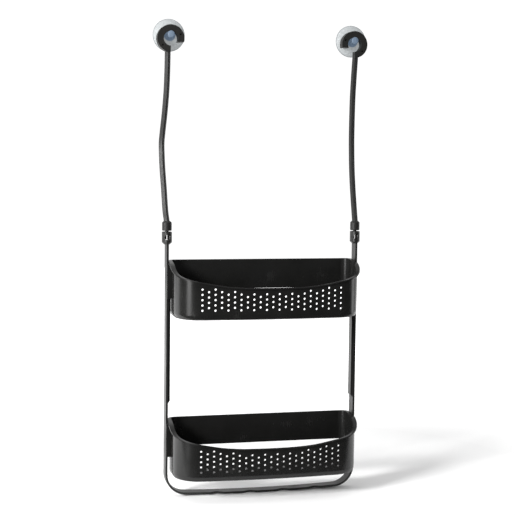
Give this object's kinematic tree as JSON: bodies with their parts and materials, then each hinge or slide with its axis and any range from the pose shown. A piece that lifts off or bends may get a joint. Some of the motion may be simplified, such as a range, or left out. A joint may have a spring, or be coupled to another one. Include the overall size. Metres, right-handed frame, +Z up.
{
  "type": "shower caddy",
  "caption": "Hanging shower caddy: perforated baskets on a U-shaped frame, carried by bendable swivelling hook arms on suction cups.",
  "frame": {"origin": "middle of the flat back face of the frame's bottom bar", "axes": "+X to the viewer's right, +Y towards the wall, +Z up"},
  "size_m": [0.3136, 0.1026, 0.6745],
  "materials": {
    "frame_plastic": "semi-gloss black",
    "basket_plastic": "semi-gloss black",
    "arm_skin": "satin black soft skin",
    "arm_wire": "drawn wire",
    "pin_plastic": "moulded black",
    "cup_vinyl": "clear, faintly blue"
  },
  "bodies": {
    "frame": {"u_frame": "frame_plastic"},
    "left_arm": {"left_arm_skin": "arm_skin", "left_arm_wire": "arm_wire", "left_swivel_pin": "pin_plastic"},
    "right_arm": {"right_arm_skin": "arm_skin", "right_arm_wire": "arm_wire", "right_swivel_pin": "pin_plastic"},
    "left_cup": {"left_suction_cup": "cup_vinyl"},
    "right_cup": {"right_suction_cup": "cup_vinyl"},
    "upper_shelf": {"upper_basket": "basket_plastic"},
    "lower_shelf": {"lower_basket": "basket_plastic"}
  },
  "joints": [
    {"name": "left_arm_swivel", "type": "hinge", "parent": "frame", "child": "left_arm", "pos_m": [-0.1385, -0.008, 0.3765], "axis": [0, 0, 1], "continuous": true},
    {"name": "right_arm_swivel", "type": "hinge", "parent": "frame", "child": "right_arm", "pos_m": [0.1385, -0.008, 0.3765], "axis": [0, 0, 1], "continuous": true},
    {"name": "left_cup_turn", "type": "hinge", "parent": "left_arm", "child": "left_cup", "pos_m": [-0.134, -0.00125, 0.6502], "axis": [0, 1, 0], "continuous": true},
    {"name": "right_cup_turn", "type": "hinge", "parent": "right_arm", "child": "right_cup", "pos_m": [0.134, -0.00125, 0.6502], "axis": [0, 1, 0], "continuous": true},
    {"name": "upper_basket_lift", "type": "slide", "parent": "frame", "child": "upper_shelf", "axis": [0, 0, 1], "range_m": [0, 0.015]},
    {"name": "lower_basket_lift", "type": "slide", "parent": "frame", "child": "lower_shelf", "axis": [0, 0, 1], "range_m": [0, 0.015]}
  ]
}
